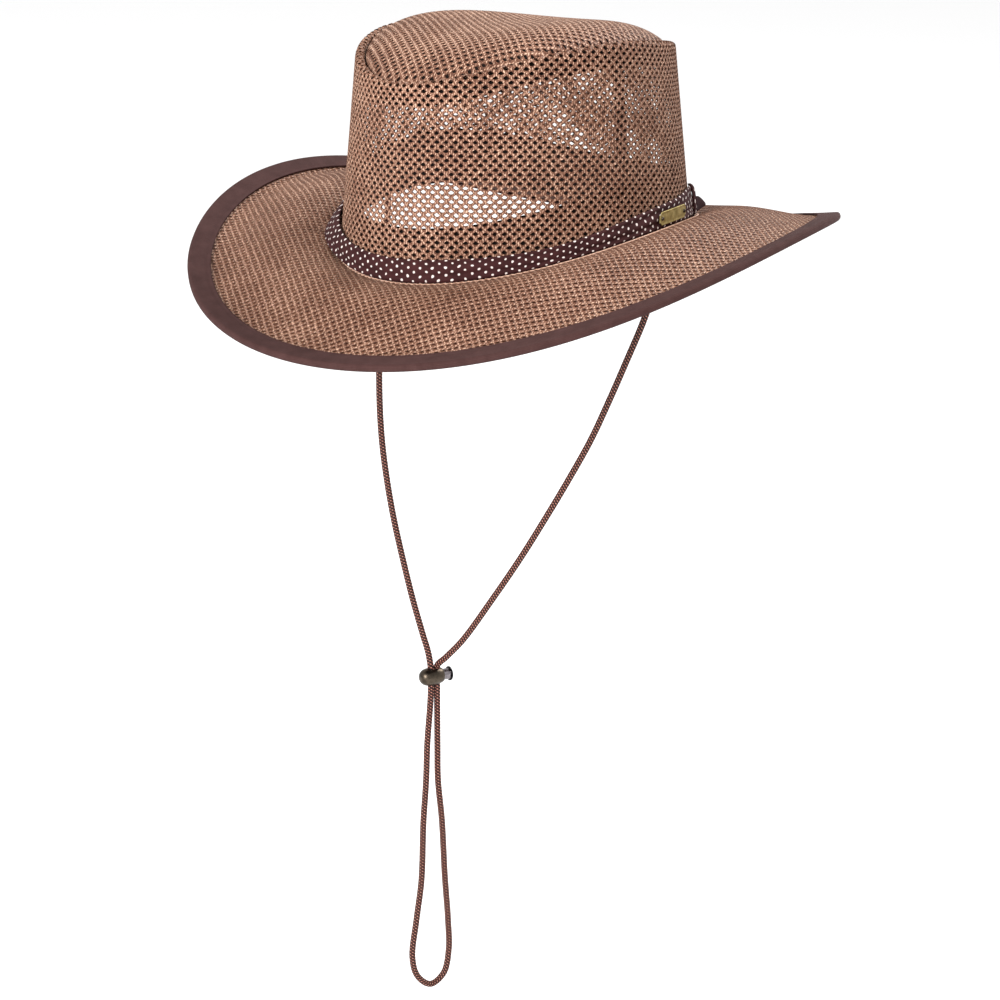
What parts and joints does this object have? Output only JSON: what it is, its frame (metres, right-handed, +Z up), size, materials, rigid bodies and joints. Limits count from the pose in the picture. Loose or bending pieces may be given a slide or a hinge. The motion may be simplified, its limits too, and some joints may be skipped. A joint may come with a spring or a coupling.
{
  "type": "outback hat",
  "caption": "Wide-brimmed outback hat of open mesh cloth, with turned-up sides, a dotted band and a chin cord on a sliding cord lock.",
  "frame": {"origin": "centre of the head opening, level with the mean height of the crown's foot", "axes": "+Z up, the front of the hat to -Y, the back to +Y, and the wearer's left to +X"},
  "size_m": [0.3271, 0.3698, 0.5655],
  "materials": {
    "mesh_cloth": "matt open knit, copper tan with dark holes",
    "binding_cloth": "matt dark brown woven cloth",
    "band_cloth": "matt dark brown cotton with small off-white dots",
    "lining_cloth": "matt dark brown cloth",
    "brass": "aged, satin, no lettering",
    "braided_cord": "braided, slightly glossy, copper and dark brown",
    "bronze": "dark aged bronze, satin",
    "steel": "polished nickel-grey"
  },
  "bodies": {
    "hat": {"brim": "mesh_cloth", "brim_binding": "binding_cloth", "crown_wall": "mesh_cloth", "crown_tip": "mesh_cloth", "sweatband": "lining_cloth", "tip_seam_tape": "lining_cloth", "back_seam_tape": "lining_cloth", "hat_band": "band_cloth", "band_keeper": "band_cloth", "band_tail": "band_cloth", "badge": "brass", "badge_rivet_front": "bronze", "badge_rivet_back": "bronze", "chin_cord": "braided_cord", "lock_barrel": "bronze"},
    "button": {"lock_button": "steel"}
  },
  "joints": [
    {"name": "lock_press", "type": "slide", "parent": "hat", "child": "button", "axis": [-0.4067, -0.9135, 0], "range_m": [0, 0.0015], "stiffness_N_per_m": 1500, "springref_m": -0.001}
  ]
}
